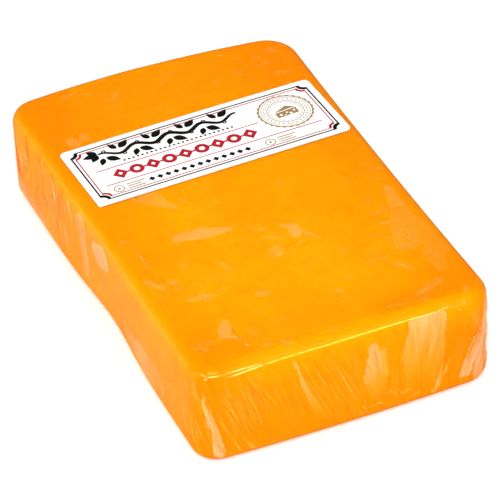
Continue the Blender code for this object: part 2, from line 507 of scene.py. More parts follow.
# %% What the finish of the cheese reads from its mesh
add_flow(cheese_mesh)
across, along = (vertex_array(cheese_mesh)[:, :2] / HALF[:2]).T
on_left = smooth(-outward(cheese_mesh)[:, 0], 0.4, 0.8)
upright = np.abs(outward(cheese_mesh)[:, 2])
# Painted shade: the cheese is coloured darker towards its left and right edges, its back, its front end and the front
# of the top's right half, where less light falls.
painted_edge_shade = 0.55 * smooth(across, -0.45, -0.95) + 0.75 * smooth(across, 0.35, 0.95)
painted_edge_shade += 0.6 * smooth(along, -0.1, 0.9) + 0.4 * smooth(along, -0.62, -0.92)
painted_edge_shade += 0.7 * smooth(across, 0.1, 0.35) * smooth(along, -0.84, -0.93) * smooth(upright, 0.6, 0.9)
painted_edge_shade *= 1 - 0.75 * on_left * smooth(along, -0.98, -0.82)
add_field(cheese_mesh, "painted_edge_shade", np.clip(painted_edge_shade, 0, 1))
# Painted light: a lighter band on the upper front and its rim, away from the corners, takes back the painted shade
# there as if the rim glowed.
painted_rim_light = smooth(-outward(cheese_mesh)[:, 1], 0.1, 0.6) * smooth(vertex_array(cheese_mesh)[:, 2] / MM, 24, 35)
add_field(cheese_mesh, "painted_rim_light", painted_rim_light * smooth(across, 0.97, 0.8) * smooth(across, -0.9, -0.55))
# Painted shade: the sides are coloured darker towards the base, less so on the left side and on the right half.
painted_base_shade = 0.85 * smooth(upright, 0.75, 0.25) * np.clip((33 - vertex_array(cheese_mesh)[:, 2] / MM) / 30, 0, 1)
add_field(cheese_mesh, "painted_base_shade", painted_base_shade * (1 - 0.8 * on_left) * (1 - 0.4 * smooth(across, 0.2, 0.5)))
gripped = 1 + 2.0 * on_left * smooth(along, 0.25, 0.6)
add_field(cheese_mesh, "gripped", gripped)
print("fields on the cheese:", [a.name for a in cheese_mesh.attributes if a.domain == "POINT"])

# %% [markdown]
# ## The finish of the cheese
# Annatto-coloured cheddar is a strong, slightly yellow orange. It is fatty and dense, so light
# enters and comes out a few millimetres away, which warms the rims. Its colour drifts softly, with
# curd marks of a few millimetres, and it is deeper where the film grips it in fine lines. Shade is
# painted into its colour too: darker towards its edges, its ends and the foot of its sides, and
# lighter again along the upper front, as painted light.

# %% Cheddar material
CHEESE_PALE, CHEESE_MID, CHEESE_DEEP = "FFA602", "FFA001", "FF9900"
# Painted shade: the darker edge and low colours on the next line.
CHEESE_PAINTED_EDGE_SHADE, CHEESE_PAINTED_BASE_SHADE, CHEESE_GRIPPED = "FF8C00", "FF8F00", "FA7800"
# Painted light: the lighter colour for the band along the front rim.
CHEESE_PAINTED_RIM_LIGHT = "FFA001"
CLOUD_SIZE = 26 * MM
CURD_SIZE = 5 * MM
GRIP_SPACING = 1.6 * MM
LIGHT_REACH = 3.0 * MM
cheddar, tree, output = new_material("annatto_cheddar_milled_and_pressed")
place = add_node(tree, "TexCoord").outputs["Object"]
cloud = add_node(tree, "TexNoise", {"Vector": place, "Scale": 1 / CLOUD_SIZE, "Detail": 3.0, "Roughness": 0.55})
curd = add_node(tree, "TexNoise", {"Vector": place, "Scale": 1 / CURD_SIZE, "Detail": 4.0, "Roughness": 0.6})
both = add_node(tree, "Math", {0: cloud.outputs["Fac"], 1: 0.6, 2: 0.0}, operation="MULTIPLY_ADD")
both = add_node(tree, "Math", {0: curd.outputs["Fac"], 1: 0.4, 2: both.outputs[0]}, operation="MULTIPLY_ADD")
drift = add_node(tree, "ValToRGB", {"Fac": both.outputs[0]})
ramp = drift.color_ramp
ramp.elements[0].position, ramp.elements[0].color = 0.36, linear(CHEESE_DEEP)
ramp.elements[1].position, ramp.elements[1].color = 0.64, linear(CHEESE_PALE)
ramp.elements.new(0.5).color = linear(CHEESE_MID)

flow = add_node(tree, "Attribute", attribute_name="flow").outputs["Vector"]
grip = add_node(tree, "TexNoise", {"Vector": flow, "Scale": 1 / GRIP_SPACING, "Detail": 2.0})
grip = add_node(tree, "MapRange", {0: grip.outputs["Fac"], 1: 0.56, 2: 0.7, 3: 0.0, 4: 0.45})
upright = add_node(tree, "NewGeometry").outputs["Normal"]
upright = add_node(tree, "SeparateXYZ", {0: upright}).outputs["Z"]
upright = add_node(tree, "Math", {0: upright}, operation="ABSOLUTE")
side = add_node(tree, "MapRange", {0: upright.outputs[0], 1: 0.25, 2: 0.75, 3: 1.0, 4: 0.0})
grip = add_node(tree, "Math", {0: grip.outputs[0], 1: side.outputs[0]}, operation="MULTIPLY")
gripped = add_node(tree, "Attribute", attribute_name="gripped").outputs["Fac"]
grip = add_node(tree, "Math", {0: grip.outputs[0], 1: gripped}, operation="MULTIPLY", use_clamp=True)
# Painted shade towards the foot of the sides.
painted_base_shade = add_node(tree, "Attribute", attribute_name="painted_base_shade").outputs["Fac"]
# Painted shade towards the edges and ends.
painted_edge_shade = add_node(tree, "Attribute", attribute_name="painted_edge_shade").outputs["Fac"]
colour = add_node(
    tree, "Mix", {0: painted_edge_shade, 6: drift.outputs["Color"], 7: linear(CHEESE_PAINTED_EDGE_SHADE)}, data_type="RGBA"
)
colour = add_node(
    tree, "Mix", {0: painted_base_shade, 6: colour.outputs[2], 7: linear(CHEESE_PAINTED_BASE_SHADE)}, data_type="RGBA"
)
# Painted light along the upper front.
painted_rim_light = add_node(tree, "Attribute", attribute_name="painted_rim_light").outputs["Fac"]
colour = add_node(
    tree, "Mix", {0: painted_rim_light, 6: colour.outputs[2], 7: linear(CHEESE_PAINTED_RIM_LIGHT)}, data_type="RGBA"
)
colour = add_node(
    tree, "Mix", {0: grip.outputs[0], 6: colour.outputs[2], 7: linear(CHEESE_GRIPPED)}, data_type="RGBA"
)
surface = add_node(
    tree,
    "BsdfPrincipled",
    {
        "Base Color": colour.outputs[2],
        "Roughness": 0.36,
        "IOR": 1.45,
        "Specular IOR Level": 0.5,
        "Specular Tint": linear("FFD84A"),
        "Subsurface Weight": 1.0,
        "Subsurface Radius": (1.0, 0.45, 0.06),
        "Subsurface Scale": LIGHT_REACH,
    },
)
tree.links.new(surface.outputs[0], output.inputs["Surface"])
add_piece("cheddar", cheese_mesh, cheddar)

# %% [markdown]
# ## The film: where air is trapped
# Shrink film clings to most of the cheese and stands off it in flat pockets, seen as crisp pale
# shapes. Each is written as a tapered, round-ended stroke on one face: start, end, the half widths
# at the two ends in millimetres, and how pale it is at the two ends. On the top the numbers are X
# and Y, on the left and right sides Y and Z, on the front and back X and Z. The skin stores how far
# inside a pocket each point lies, so that the finish can draw a crisp edge finer than the cells.

# %% Pockets that show
AIR_POCKETS = {
    "top": [
        ((-31.0, -16.8), (-21.5, -18.0), 2.3, 3.4, 0.11, 0.11),
        ((-21.5, -18.0), (-12.6, -20.0), 3.4, 1.0, 0.11, 0.11),
        ((3.0, -25.6), (5.4, -27.0), 0.7, 1.2, 0.08, 0.09),
        ((6.6, -28.0), (6.2, -32.2), 2.2, 1.9, 0.10, 0.11),
        ((7.6, -30.5), (12.5, -38.6), 1.1, 0.3, 0.06, 0.04),
        ((-32.0, 11.5), (-25.3, -0.6), 5.0, 0.6, 0.05, 0.06),
        ((-34.9, -66.5), (-36.8, -71.2), 1.7, 2.7, 0.08, 0.11),
        ((-39.6, -73.2), (-35.2, -75.0), 0.9, 0.9, 0.07, 0.12),
        ((-35.4, -75.4), (-33.7, -79.8), 0.9, 0.25, 0.09, 0.04),
        ((-40.3, -50.2), (-31.0, -52.2), 1.7, 0.7, 0.05, 0.04),
        ((-36.2, -49.8), (-35.6, -53.2), 1.6, 1.2, 0.05, 0.05),
        ((-50.0, -35.0), (-47.2, -39.2), 1.2, 1.5, 0.08, 0.08),
        ((-19.0, -57.6), (-16.2, -58.2), 1.7, 1.7, 0.045, 0.05),
        ((45.6, -22.0), (44.3, -33.0), 1.6, 2.9, 0.065, 0.05),
        ((44.0, -35.0), (41.6, -46.0), 3.1, 5.6, 0.03, 0.03),
        ((40.8, -47.0), (38.2, -53.5), 5.6, 4.2, 0.03, 0.035),
        ((45.5, -46.0), (46.2, -62.0), 3.8, 3.6, 0.02, 0.02),
        ((43.4, -62.0), (42.6, -71.5), 3.4, 2.6, 0.025, 0.02),
        ((35.3, -51.0), (35.2, -56.0), 2.3, 1.6, 0.035, 0.035),
        ((29.4, -62.9), (33.0, -67.5), 1.1, 0.9, 0.05, 0.05),
        ((26.8, -82.2), (38.2, -77.4), 0.6, 2.0, 0.03, 0.035),
        ((16.8, -82.9), (22.6, -84.0), 0.8, 0.9, 0.03, 0.03),
        ((-18.2, -73.4), (-17.2, -73.4), 1.0, 1.2, 0.03, 0.03),
        ((-5.2, -86.0), (-4.0, -86.0), 0.9, 1.0, 0.03, 0.03),
        ((-29.0, 80.8), (-21.3, 75.4), 1.0, 0.6, 0.03, 0.03),
        ((-36.0, 81.2), (-30.6, 82.6), 0.9, 0.5, 0.06, 0.05),
        ((25.4, 81.3), (26.8, 80.6), 0.9, 1.1, 0.05, 0.05),
        ((17.8, 66.2), (19.0, 65.4), 0.9, 1.0, 0.05, 0.05),
        ((36.6, 73.6), (38.0, 72.8), 0.8, 1.0, 0.05, 0.05),
        ((43.6, 76.8), (45.0, 75.6), 1.2, 1.4, 0.06, 0.06),
        ((40.6, 53.4), (42.2, 52.4), 1.1, 1.0, 0.06, 0.06),
        ((-42.8, 54.6), (-42.2, 52.6), 2.3, 2.6, 0.07, 0.065),
        ((-38.0, 55.4), (-37.6, 53.8), 1.9, 2.1, 0.06, 0.055),
    ],
    "left": [
        ((51.5, 32.8), (47.8, 30.8), 0.8, 1.1, 0.13, 0.11),
        ((42.3, 31.8), (40.6, 25.8), 1.5, 1.2, 0.11, 0.14),
        ((49.9, 25.6), (48.3, 18.6), 0.9, 0.8, 0.10, 0.13),
        ((26.4, 32.4), (24.4, 27.8), 1.5, 1.2, 0.13, 0.11),
        ((33.2, 20.8), (31.4, 14.6), 0.5, 2.3, 0.11, 0.13),
        ((31.4, 14.6), (30.9, 10.2), 2.3, 0.8, 0.13, 0.11),
        ((15.2, 31.8), (13.8, 10.0), 4.2, 2.3, 0.13, 0.13),
        ((0.0, 28.2), (-5.2, 30.0), 5.2, 5.0, 0.24, 0.24),
        ((-21.0, 10.6), (-38.0, 10.6), 1.6, 6.0, 0.06, 0.16),
        ((-38.0, 10.6), (-54.5, 11.6), 6.0, 5.2, 0.16, 0.04),
    ],
    "front": [
        ((-52.3, 30.5), (-48.6, 4.4), 0.40, 2.5, 0.18, 0.27),
        ((-20.9, 33.4), (-15.2, 17.0), 0.4, 1.4, 0.21, 0.11),
        ((-15.4, 18.0), (-10.6, 8.5), 1.3, 1.5, 0.11, 0.01),
        ((-15.8, 18.0), (-13.6, 10.0), 1.2, 0.7, 0.13, 0.02),
        ((-6.8, 33.9), (-6.5, 33.2), 0.7, 0.8, 0.18, 0.18),
        ((-39.6, 26.4), (-39.4, 25.6), 0.6, 0.7, 0.08, 0.08),
        ((8.2, 29.2), (8.0, 18.0), 2.4, 4.5, 0.22, 0.16),
        ((11.8, 28.0), (11.2, 18.0), 1.3, 2.4, 0.14, 0.10),
        ((8.4, 18.5), (9.2, 8.5), 4.6, 3.4, 0.13, 0.01),
        ((-6.0, 28.0), (0.6, 11.0), 0.3, 1.6, 0.13, 0.04),
        ((25.0, 34.8), (22.4, 22.0), 4.2, 4.7, 0.23, 0.12),
        ((31.0, 35.4), (30.6, 20.0), 4.3, 3.5, 0.22, 0.11),
        ((20.9, 22.0), (20.8, 9.0), 3.4, 2.2, 0.12, 0.01),
        ((26.0, 23.0), (25.6, 9.0), 3.0, 2.2, 0.10, 0.01),
        ((30.6, 22.0), (29.4, 11.0), 3.4, 2.8, 0.12, 0.02),
        ((34.4, 19.2), (29.7, 3.4), 0.5, 1.2, 0.17, 0.15),
        ((36.9, 17.6), (30.2, 3.2), 0.3, 0.6, 0.17, 0.15),
        ((45.6, 31.5), (46.6, 25.0), 1.6, 1.4, 0.05, 0.02),
    ],
    "front_corner": [
        ((49.4, 28.5), (47.0, 5.5), 0.5, 2.7, 0.26, 0.26),
        ((50.6, 30.0), (51.6, 6.5), 0.6, 1.8, 0.28, 0.26),
        ((48.8, 25.0), (42.4, 7.4), 0.7, 2.3, 0.22, 0.26),
        ((47.2, 27.5), (39.6, 6.0), 0.3, 0.8, 0.20, 0.24),
        ((50.6, 33.0), (49.9, 22.0), 0.8, 1.8, 0.22, 0.29),
        ((-52.5, 30.4), (-50.6, 17.0), 0.35, 1.3, 0.18, 0.24),
    ],
}

# %% Pockets on the two hidden sides
# The back and the right side get pockets of the same kinds and sizes, drawn with a seed.
draw = random.Random(7)
for face, reach, count in (("right", 80, 15), ("back", 44, 10)):
    AIR_POCKETS[face] = []
    for number in range(count):
        along = -reach + 2 * reach * (number + draw.uniform(0.2, 0.8)) / count
        high, low = draw.uniform(20, 30), draw.uniform(6, 15)
        wide = draw.choice((0.6, 1.0, 1.8, 3.2))
        drift = draw.uniform(-4, 4)
        pale = draw.uniform(0.08, 0.18)
        stroke_along = ((along, high), (along + drift, low))
        AIR_POCKETS[face].append((*stroke_along, 0.5 * wide, wide, 1.15 * pale, 0.4 * pale))
print("air pockets:", {face: len(strokes) for face, strokes in AIR_POCKETS.items()})

# %% The film's base skin
film_mesh = block_skin("shrink_film", 0.75 * MM, 0.62 * MM)
film_points, film_normals = vertex_array(film_mesh), outward(film_mesh)
print("film triangles:", sum(len(p.vertices) - 2 for p in film_mesh.polygons))

# %% How far inside a pocket each point of the film lies
FACES = {
    "top": ((0, 1), (0, 0, 1)),
    "left": ((1, 2), (-1, 0, 0)),
    "right": ((1, 2), (1, 0, 0)),
    "front": ((0, 2), (0, -1, 0)),
    "back": ((0, 2), (0, 1, 0)),
    "front_corner": ((0, 2), (0, -1, 0)),
}
FACING = {"top": 0.45, "left": 0.6, "right": 0.7, "front": 0.86, "back": 0.7, "front_corner": 0.4}
RAGGED_SIZE = 2.2 * MM
RAGGED_REACH = 0.45
STREAKY = {"top": 0.05, "left": 0.1, "right": 0.6, "front": 0.5, "back": 0.6, "front_corner": 0.45}
RISING = {"top": 0.24, "left": 0.24, "right": 0.24, "front": 0.24, "back": 0.24, "front_corner": 0.03}
CRINKLED = {"top": 2.0, "left": 0.5, "right": 1.2, "front": 1.2, "back": 1.2, "front_corner": 1.2}


def inside_stroke(flat, start, end, half_start, half_end):
    """How far inside a tapered, round-ended stroke each point lies, and how far along it."""
    start, end = np.array(start), np.array(end)
    line = end - start
    share = np.clip((flat - start) @ line / (line @ line), 0, 1)
    nearest = start + share[:, None] * line
    return half_start + (half_end - half_start) * share - np.linalg.norm(flat - nearest, axis=1), share


ragged = np.array([noise.noise_vector(Vector(p / RAGGED_SIZE)) for p in film_points]) * RAGGED_REACH
pocket_depth = np.full(len(film_points), -3.0)
pocket_pale = np.zeros(len(film_points))
pocket_streaky = np.zeros(len(film_points))
pocket_crinkled = np.zeros(len(film_points))
pocket_rise = np.zeros(len(film_points))
for face, ((first, second), facing) in FACES.items():
    towards = film_normals @ np.array(facing) > FACING[face]
    flat = (film_points / MM + ragged)[:, (first, second)]
    for start, end, half_start, half_end, pale_start, pale_end in AIR_POCKETS[face]:
        depth, share = inside_stroke(flat, start, end, half_start, half_end)
        depth = np.where(towards, depth, -3.0)
        deeper = depth > np.maximum(pocket_depth, -1.5)
        pocket_pale = np.where(deeper, pale_start + (pale_end - pale_start) * share, pocket_pale)
        pocket_streaky = np.where(deeper, STREAKY[face], pocket_streaky)
        pocket_crinkled = np.where(deeper, CRINKLED[face], pocket_crinkled)
        pocket_rise = np.where(deeper, RISING[face], pocket_rise)
        pocket_depth = np.maximum(pocket_depth, depth)
print("share of the film that stands off the cheese:", round(float((pocket_depth > 0).mean()), 3))

# %% [markdown]
# ## The film: gathers down the sides
# Where a corner is wrapped, spare film is gathered into soft ridges that run down the side. Each is
# a bell-shaped swelling across the flow map, between two heights, and they are drawn with a seed,
# crowded at the corners and sparse in between. They are mesh, so they bend the outline slightly.

# %% Ridges
# Place round the outline from and to, how many, the half width and the height in mm
GATHERS = [
    (-68, -42, 17, (0.7, 1.3), (0.12, 0.34)),
    (-40, 36, 12, (0.7, 1.2), (0.06, 0.16)),
    (37, 80, 26, (0.7, 1.3), (0.03, 0.09)),
    (82, 212, 24, (0.8, 1.6), (0.06, 0.20)),
    (212, 240, 16, (0.7, 1.3), (0.12, 0.34)),
    (240, 320, 12, (0.8, 1.5), (0.06, 0.20)),
    (-240, -212, 16, (0.7, 1.3), (0.12, 0.32)),
    (-212, -150, 22, (0.6, 1.0), (0.10, 0.24)),
    (-150, -70, 8, (0.8, 1.6), (0.05, 0.14)),
]
RIM_FADE = (35.5, 30.0)
draw = random.Random(11)
origin = crease_origin(film_points) / MM
full_round = 2 * HALF_ROUND / MM
height = film_points[:, 2] / MM
relief = np.zeros(len(film_points))


for first, last, count, widths, heights in GATHERS:
    for _ in range(count):
        centre = draw.uniform(first, last)
        wide, high = draw.uniform(*widths), draw.uniform(*heights)
        top, bottom = draw.uniform(26, 34), draw.uniform(3, 12)
        away = np.mod(origin - centre + full_round / 2, full_round) - full_round / 2
        window = smooth(height, bottom - 2.5, bottom + 2.5) * smooth(height, top + 3.5, top - 3.5)
        relief += high * np.exp(-((away / wide) ** 2)) * window
upright = np.abs(film_normals[:, 2])
sides = smooth(upright, 0.32, 0.06)
relief *= sides
print("tallest gather:", round(float(relief.max()), 2), "mm")

# %% [markdown]
# ## The film: its final shape
# Pockets stand proud by a few tenths of a millimetre, the gathers by up to one, and the whole skin
# has a slight quilting. Nothing rises under the label, which presses the film flat.

# %% Shape the film
POCKET_SHOULDER = 1.4
QUILT_SIZE, QUILT_RISE = 5 * MM, 0.07
LABEL_MARGIN = 0.6 * MM
quilt = np.array([noise.noise(Vector(p / QUILT_SIZE)) for p in film_points])
taut_rim = smooth(upright, 0.1, 0.3) * smooth(upright, 0.995, 0.93)
quilt = QUILT_RISE * (0.5 + 0.5 * quilt) * (1 - taut_rim)
pocket_rise *= smooth(pocket_depth, 0.0, POCKET_SHOULDER) * (1 - taut_rim)
rise = corner_lumps(film_points) + relief + pocket_rise + quilt
label_low, label_high = (np.array(c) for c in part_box("label"))
under_label = np.all(
    (film_points[:, :2] > label_low[:2] - LABEL_MARGIN) & (film_points[:, :2] < label_high[:2] + LABEL_MARGIN),
    axis=1,
)
on_top = film_normals[:, 2] > 0.8
lies_flat = (on_top & under_label) | (film_normals[:, 2] < -0.5)
rise = np.where(lies_flat, 0.0, rise)
set_vertices(film_mesh, film_points + film_normals * (rise * MM)[:, None])
add_flow(film_mesh)
add_field(film_mesh, "pocket", pocket_depth)
add_field(film_mesh, "pale", pocket_pale)
add_field(film_mesh, "streaky", pocket_streaky)
add_field(film_mesh, "crinkled", pocket_crinkled)
along = film_points[:, 1] / MM
on_left = smooth(-film_normals[:, 0], 0.5, 0.8)
# Painted sheen: the left side gets a milky veil in place of the floor's reflection. It is stronger from the middle
# forward and at the back, strongest low at the back, and fades at the front corner.
painted_sheen_along_left = 0.12 + 0.48 * smooth(along, 40, -10) + 0.4 * smooth(along, 66, 84)
painted_sheen_along_left += 4.4 * smooth(along, 35, 76) * smooth(height, 14, 5)
painted_sheen_along_left *= 1 - 0.95 * smooth(along, -60, -84)
add_field(film_mesh, "painted_left_sheen", smooth(-film_normals[:, 0], 0.75, 0.86) * painted_sheen_along_left)
add_field(film_mesh, "level", smooth(upright, 0.8, 0.97))
on_front = smooth(-film_normals[:, 1], 0.2, 0.7) * (1 - 0.7 * smooth(film_points[:, 0] / MM, 41, 47))
pulled = 1 + 5.0 * on_left * smooth(along, 15, 45) + 1.4 * on_front * smooth(film_points[:, 0] / MM, -18, -38)
add_field(film_mesh, "pulled", pulled)
add_field(film_mesh, "warm", on_front + 0.5 * smooth(film_normals[:, 2], 0.5, 0.9))
add_field(film_mesh, "side", sides)

# %% [markdown]
# ## The finish of the film
# Polyethylene shrink film is clear and glossy. Wet against the cheese it adds nothing but gloss.
# Off the cheese it has two more faces that scatter light, so it turns milky: that is a pale share
# of the finish, with a crisp edge at the pocket's outline and fine pull lines along the flow map.

# %% Shrink film material
EDGE_WIDTH = 0.28
PULL_SPACING = 1.1 * MM
STREAK_SPACING = 1.3 * MM
FINE_PULL_SPACING = 0.7 * MM
GATHER_PATCH = 16 * MM
GLOSS_SHARE = 0.5
GLOSS_LIMIT = 0.12
PAINTED_SHEEN_SHARE = 0.036
LINE_SHARE = 0.09
MILK_WHITE, MILK_WARM = "FFEFC8", "FFFF60"
CRUMB_SIZE = 6 * MM
CRUMB_PATCH = 22 * MM
CRUMB_SHARE = 0.11
clear_film, tree, output = new_material("polyethylene_shrink_film_clear")
flow = add_node(tree, "Attribute", attribute_name="flow").outputs["Vector"]
place = add_node(tree, "TexCoord").outputs["Object"]
pocket = add_node(tree, "Attribute", attribute_name="pocket").outputs["Fac"]
pale = add_node(tree, "Attribute", attribute_name="pale").outputs["Fac"]
painted_left_sheen = add_node(tree, "Attribute", attribute_name="painted_left_sheen").outputs["Fac"]
side = add_node(tree, "Attribute", attribute_name="side").outputs["Fac"]
streaky = add_node(tree, "Attribute", attribute_name="streaky").outputs["Fac"]
crinkled = add_node(tree, "Attribute", attribute_name="crinkled").outputs["Fac"]
pulled = add_node(tree, "Attribute", attribute_name="pulled").outputs["Fac"]
warm = add_node(tree, "Attribute", attribute_name="warm").outputs["Fac"]

crinkle = add_node(tree, "TexNoise", {"Vector": place, "Scale": 1 / (1.2 * MM), "Detail": 3.0})
crinkle = add_node(tree, "Math", {0: crinkle.outputs["Fac"], 1: 0.5}, operation="SUBTRACT")
crinkle = add_node(tree, "Math", {0: crinkle.outputs[0], 1: crinkled}, operation="MULTIPLY")
streak = add_node(tree, "TexNoise", {"Vector": flow, "Scale": 1 / STREAK_SPACING, "Detail": 3.0, "Roughness": 0.6})
streak = add_node(tree, "MapRange", {0: streak.outputs["Fac"], 1: 0.3, 2: 0.7, 3: -2.0, 4: 1.2})
streak = add_node(tree, "Math", {0: streak.outputs[0], 1: streaky}, operation="MULTIPLY")
edge = add_node(tree, "Math", {0: pocket, 1: crinkle.outputs[0]}, operation="ADD")
edge = add_node(tree, "Math", {0: edge.outputs[0], 1: streak.outputs[0]}, operation="ADD")
inside = add_node(tree, "MapRange", {0: edge.outputs[0], 1: 0.0, 2: EDGE_WIDTH, 3: 0.0, 4: 1.0})

pull = add_node(tree, "TexNoise", {"Vector": flow, "Scale": 1 / PULL_SPACING, "Detail": 3.0, "Roughness": 0.6})
pull_lines = add_node(tree, "MapRange", {0: pull.outputs["Fac"], 1: 0.57, 2: 0.7, 3: 0.0, 4: 1.0})
patch = add_node(tree, "TexNoise", {"Vector": flow, "Scale": 1 / GATHER_PATCH, "Detail": 1.0})
patch = add_node(tree, "MapRange", {0: patch.outputs["Fac"], 1: 0.42, 2: 0.6, 3: 0.15, 4: 1.0})
lines = add_node(tree, "Math", {0: pull_lines.outputs[0], 1: patch.outputs[0]}, operation="MULTIPLY")
lines = add_node(tree, "Math", {0: lines.outputs[0], 1: side}, operation="MULTIPLY")
lines = add_node(tree, "Math", {0: lines.outputs[0], 1: pulled}, operation="MULTIPLY")
lines = add_node(tree, "Math", {0: lines.outputs[0], 1: LINE_SHARE}, operation="MULTIPLY")

texture = add_node(tree, "MapRange", {0: pull.outputs["Fac"], 1: 0.4, 2: 0.6, 3: 0.2, 4: 1.5})
texture = add_node(tree, "Mix", {0: streaky, 2: 1.0, 3: texture.outputs[0]})
air = add_node(tree, "Math", {0: inside.outputs[0], 1: pale}, operation="MULTIPLY")
air = add_node(tree, "Math", {0: air.outputs[0], 1: texture.outputs[0]}, operation="MULTIPLY")
crumbs = add_node(
    tree,
    "TexNoise",
    {"Vector": place, "Scale": 1 / CRUMB_SIZE, "Detail": 6.0, "Roughness": 0.72, "Distortion": 0.8},
)
crumbs = add_node(tree, "MapRange", {0: crumbs.outputs["Fac"], 1: 0.56, 2: 0.68, 3: 0.0, 4: CRUMB_SHARE})
scatter = add_node(tree, "TexNoise", {"Vector": place, "Scale": 1 / CRUMB_PATCH, "Detail": 2.0})
scatter = add_node(tree, "MapRange", {0: scatter.outputs["Fac"], 1: 0.46, 2: 0.6, 3: 0.0, 4: 1.0})
crumbs = add_node(tree, "Math", {0: crumbs.outputs[0], 1: scatter.outputs[0]}, operation="MULTIPLY")
level = add_node(tree, "Attribute", attribute_name="level").outputs["Fac"]
crumbs = add_node(tree, "Math", {0: crumbs.outputs[0], 1: level}, operation="MULTIPLY")
lines = add_node(tree, "Math", {0: lines.outputs[0], 1: crumbs.outputs[0]}, operation="ADD")
# The painted sheen on the left side is added to the haze.
haze = add_node(tree, "Math", {0: painted_left_sheen, 1: PAINTED_SHEEN_SHARE, 2: lines.outputs[0]}, operation="MULTIPLY_ADD")
haze = add_node(tree, "Math", {0: haze.outputs[0], 1: air.outputs[0]}, operation="ADD", use_clamp=True)

fine = add_node(tree, "TexNoise", {"Vector": flow, "Scale": 1 / FINE_PULL_SPACING, "Detail": 2.0})
fine = add_node(tree, "Math", {0: fine.outputs["Fac"], 1: side}, operation="MULTIPLY")
bump = add_node(tree, "Bump", {"Strength": 0.5, "Distance": 0.1 * MM, "Height": fine.outputs[0]})
mirror = add_node(tree, "Fresnel", {"IOR": 1.5, "Normal": bump.outputs[0]})
mirror = add_node(tree, "Math", {0: mirror.outputs[0], 1: GLOSS_SHARE}, operation="MULTIPLY")
mirror = add_node(tree, "Math", {0: mirror.outputs[0], 1: GLOSS_LIMIT}, operation="MINIMUM")
clear = add_node(tree, "BsdfTransparent", {"Color": linear("FFFFFF")})
gloss = add_node(
    tree,
    "BsdfAnisotropic",
    {"Color": linear("FFE55C"), "Roughness": 0.075, "Normal": bump.outputs[0]},
)
tight = add_node(tree, "MixShader", {0: mirror.outputs[0], 1: clear.outputs[0], 2: gloss.outputs[0]})
air_pale = add_node(tree, "Math", {0: inside.outputs[0], 1: pale}, operation="MULTIPLY")
thinness = add_node(tree, "MapRange", {0: air_pale.outputs[0], 1: 0.08, 2: 0.23, 3: 1.0, 4: 0.25})
thinness = add_node(tree, "Math", {0: thinness.outputs[0], 1: warm}, operation="MULTIPLY")
milk = add_node(
    tree, "Mix", {0: thinness.outputs[0], 6: linear(MILK_WHITE), 7: linear(MILK_WARM)}, data_type="RGBA"
)
milky = add_node(
    tree,
    "BsdfPrincipled",
    {"Base Color": milk.outputs[2], "Roughness": 0.3, "IOR": 1.5, "Normal": bump.outputs[0]},
)
film_shader = add_node(tree, "MixShader", {0: haze.outputs[0], 1: tight.outputs[0], 2: milky.outputs[0]})
tree.links.new(film_shader.outputs[0], output.inputs["Surface"])
film = add_piece("shrink_film", film_mesh, clear_film)
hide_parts("wrapped_block")

# %% [markdown]
# ## The paper of the label
# The label is smooth coated paper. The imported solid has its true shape, so it stays, and gets a
# better finish: white, faintly uneven, with a soft sheen.

# %% Label paper material
FIBRE_SIZE = 0.6 * MM
paper, tree, output = new_material("coated_label_paper")
place = add_node(tree, "TexCoord").outputs["Object"]
fibre = add_node(tree, "TexNoise", {"Vector": place, "Scale": 1 / FIBRE_SIZE, "Detail": 4.0})
tone = add_node(
    tree, "Mix", {0: fibre.outputs["Fac"], 6: linear("FBFAF7"), 7: linear("FFFFFD")}, data_type="RGBA"
)
bump = add_node(tree, "Bump", {"Strength": 0.2, "Distance": 0.02 * MM, "Height": fibre.outputs["Fac"]})
sheet = add_node(
    tree,
    "BsdfPrincipled",
    {"Base Color": tone.outputs[2], "Roughness": 0.4, "IOR": 1.5, "Normal": bump.outputs[0]},
)
tree.links.new(sheet.outputs[0], output.inputs["Surface"])
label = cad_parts["label"]
label.data.materials.clear()
label.data.materials.append(paper)

# %% [markdown]
# ## The film: fine creases
# Between the soft gathers lie sharp pleats, thin as a thread, where the film folded on itself.
# Bump alone would leave the sides smooth in an exported mesh, so each is a spindle: a thin cone
# with its sides cut into rings, swollen in the middle, laid along the flow map with the rays of a
# search tree that finds the film. All of them join into one mesh.

# %% One spindle to copy
SPINDLE_SIDES, SPINDLE_CUTS = 6, 11
bm = bmesh.new()
bmesh.ops.create_cone(bm, cap_ends=True, segments=SPINDLE_SIDES, radius1=1.0, radius2=1.0, depth=1.0)
bmesh.ops.rotate(bm, cent=(0, 0, 0), matrix=Matrix.Rotation(pi / SPINDLE_SIDES, 3, "Z"), verts=bm.verts)
long_edges = [e for e in bm.edges if abs(e.verts[0].co.z - e.verts[1].co.z) > 0.5]
bmesh.ops.subdivide_edges(bm, edges=long_edges, cuts=SPINDLE_CUTS, use_grid_fill=True)
bmesh.ops.translate(bm, vec=(0, 0, 0.5), verts=bm.verts)
spindle_mesh = bpy.data.meshes.new("spindle")
bm.to_mesh(spindle_mesh)
bm.free()
SPINDLE = vertex_array(spindle_mesh)
print("spindle:", len(SPINDLE), "points")

# %% Paths of the creases
film_tree = BVHTree.FromPolygons(
    [tuple(p) for p in vertex_array(film_mesh)], [tuple(p.vertices) for p in film_mesh.polygons]
)
CREASE_STEPS = SPINDLE_CUTS + 2
OUTSIDE = 8 * MM


def side_spot(run, level):
    """The point and normal of the film at a place round the outline, at a height, in mm."""
    spot = outline_place(run * MM)
    ahead = outline_place((run + 0.5) * MM)
    out = Vector((ahead[1] - spot[1], spot[0] - ahead[0], 0)).normalized()
    origin = Vector((spot[0], spot[1], level * MM)) + out * OUTSIDE
    hit, normal, _, _ = film_tree.ray_cast(origin, -out)
    return (hit, normal) if hit else None


